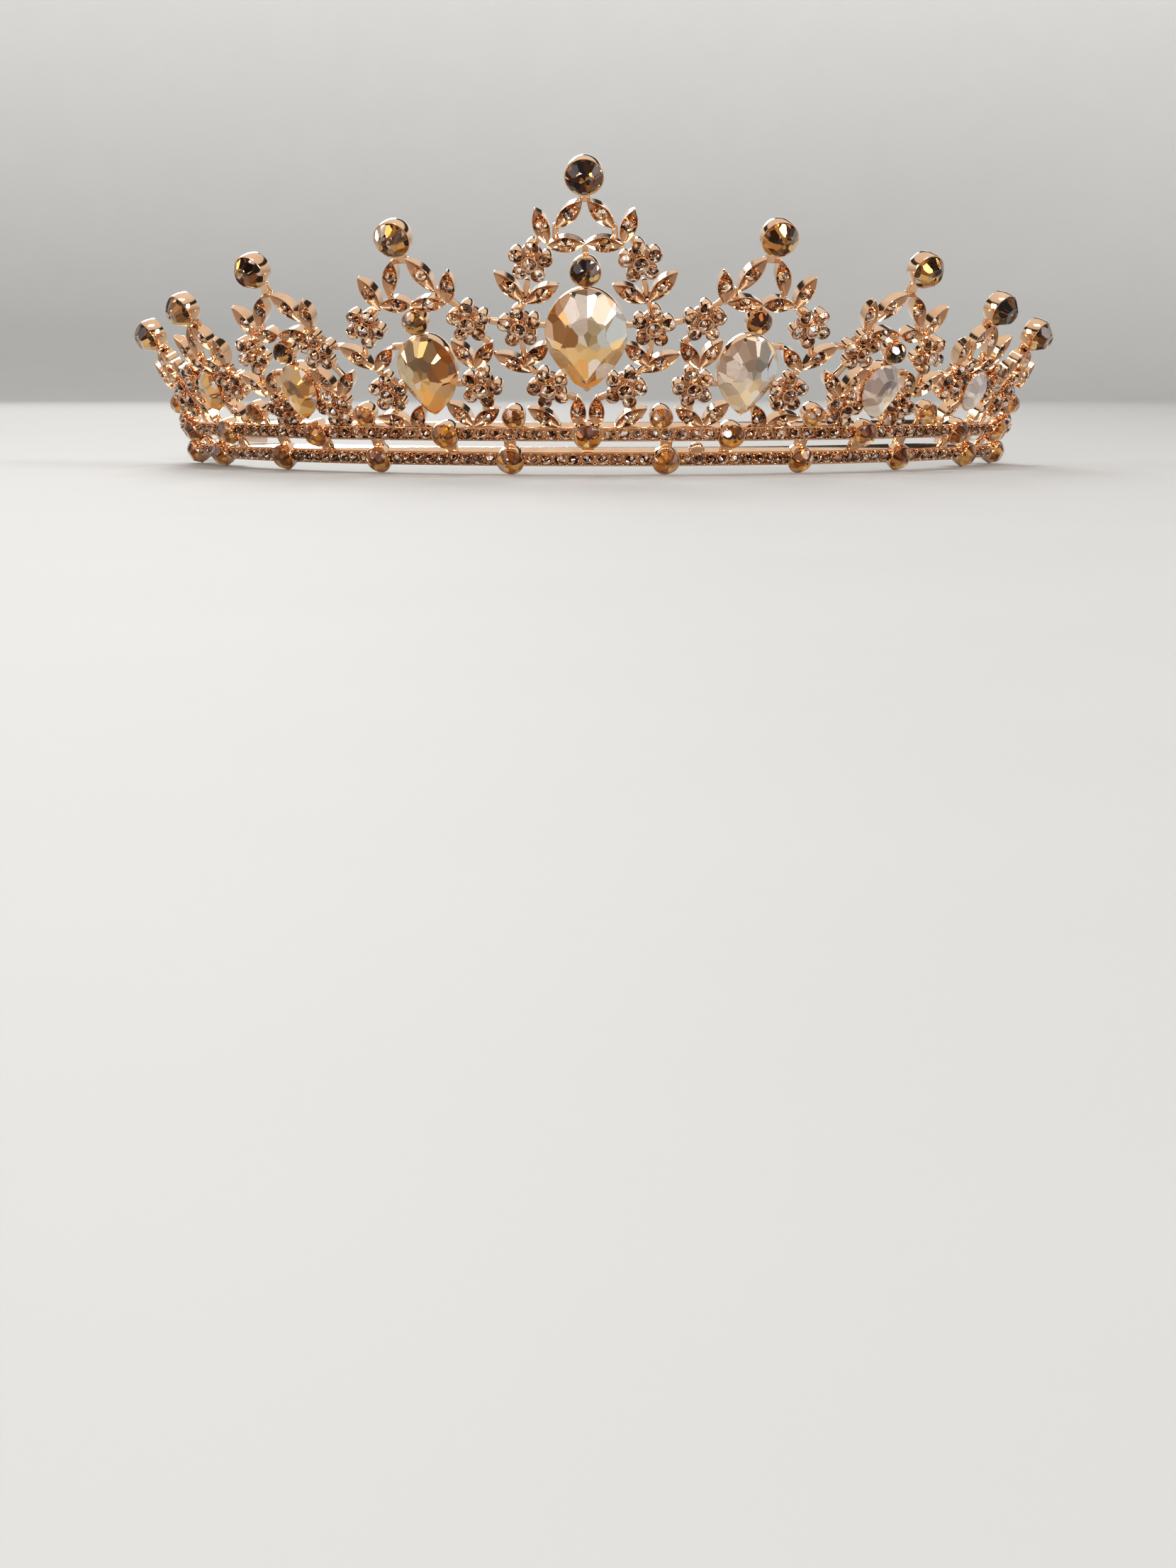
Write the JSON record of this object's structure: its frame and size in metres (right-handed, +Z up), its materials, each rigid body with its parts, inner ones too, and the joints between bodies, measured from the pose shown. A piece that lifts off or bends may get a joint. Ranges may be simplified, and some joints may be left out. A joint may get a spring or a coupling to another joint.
{
  "type": "rhinestone crown",
  "caption": "Openwork metal tiara with round stones on its peaks, pear stones, jewelled leaves and flowers, two curved stone-set bands and a wire behind each end.",
  "frame": {"origin": "on the surface that the crown stands on, under the middle of its box from the tallest front stone to the ends of the side wires", "axes": "+Z up, -Y out of the front of the crown, +X to the left side of the person who wears it"},
  "size_m": [0.1598, 0.134, 0.0487],
  "materials": {
    "crown_metal": "polished light rose gold plating",
    "wire_metal": "plain drawn wire with the same plating",
    "smoky_topaz_glass": "cut, foil-backed smoky topaz glass",
    "champagne_glass": "cut, foil-backed champagne glass with a pale rainbow coating",
    "amber_glass": "cut, foil-backed amber glass",
    "peach_glass": "cut, foil-backed pale brown glass"
  },
  "bodies": {
    "root": {"frame": "crown_metal", "finial_stone_1": "smoky_topaz_glass", "finial_stone_2": "smoky_topaz_glass", "finial_stone_3": "smoky_topaz_glass", "finial_stone_4": "smoky_topaz_glass", "finial_stone_5": "smoky_topaz_glass", "finial_stone_6": "smoky_topaz_glass", "finial_stone_7": "smoky_topaz_glass", "finial_stone_8": "smoky_topaz_glass", "finial_stone_9": "smoky_topaz_glass", "pear_stone_1": "champagne_glass", "pear_stone_2": "champagne_glass", "pear_stone_3": "champagne_glass", "pear_stone_4": "champagne_glass", "pear_stone_5": "champagne_glass", "pear_stone_6": "champagne_glass", "pear_stone_7": "champagne_glass", "bead_stone_1": "smoky_topaz_glass", "bead_stone_2": "smoky_topaz_glass", "bead_stone_3": "smoky_topaz_glass", "bead_stone_4": "smoky_topaz_glass", "bead_stone_5": "smoky_topaz_glass", "upper_band_stone_1": "amber_glass", "upper_band_stone_2": "amber_glass", "upper_band_stone_3": "amber_glass", "upper_band_stone_4": "amber_glass", "upper_band_stone_5": "amber_glass", "upper_band_stone_6": "amber_glass", "upper_band_stone_7": "amber_glass", "upper_band_stone_8": "amber_glass", "upper_band_stone_9": "amber_glass", "lower_band_stone_1": "amber_glass", "lower_band_stone_2": "amber_glass", "lower_band_stone_3": "amber_glass", "lower_band_stone_4": "amber_glass", "lower_band_stone_5": "amber_glass", "lower_band_stone_6": "amber_glass", "lower_band_stone_7": "amber_glass", "lower_band_stone_8": "amber_glass", "lower_band_stone_9": "amber_glass", "lower_band_stone_10": "amber_glass", "spacer_stones": "amber_glass", "flower_stones_left": "peach_glass", "flower_stones_right": "peach_glass", "side_wire_left": "wire_metal", "side_wire_right": "wire_metal"}
  },
  "joints": []
}
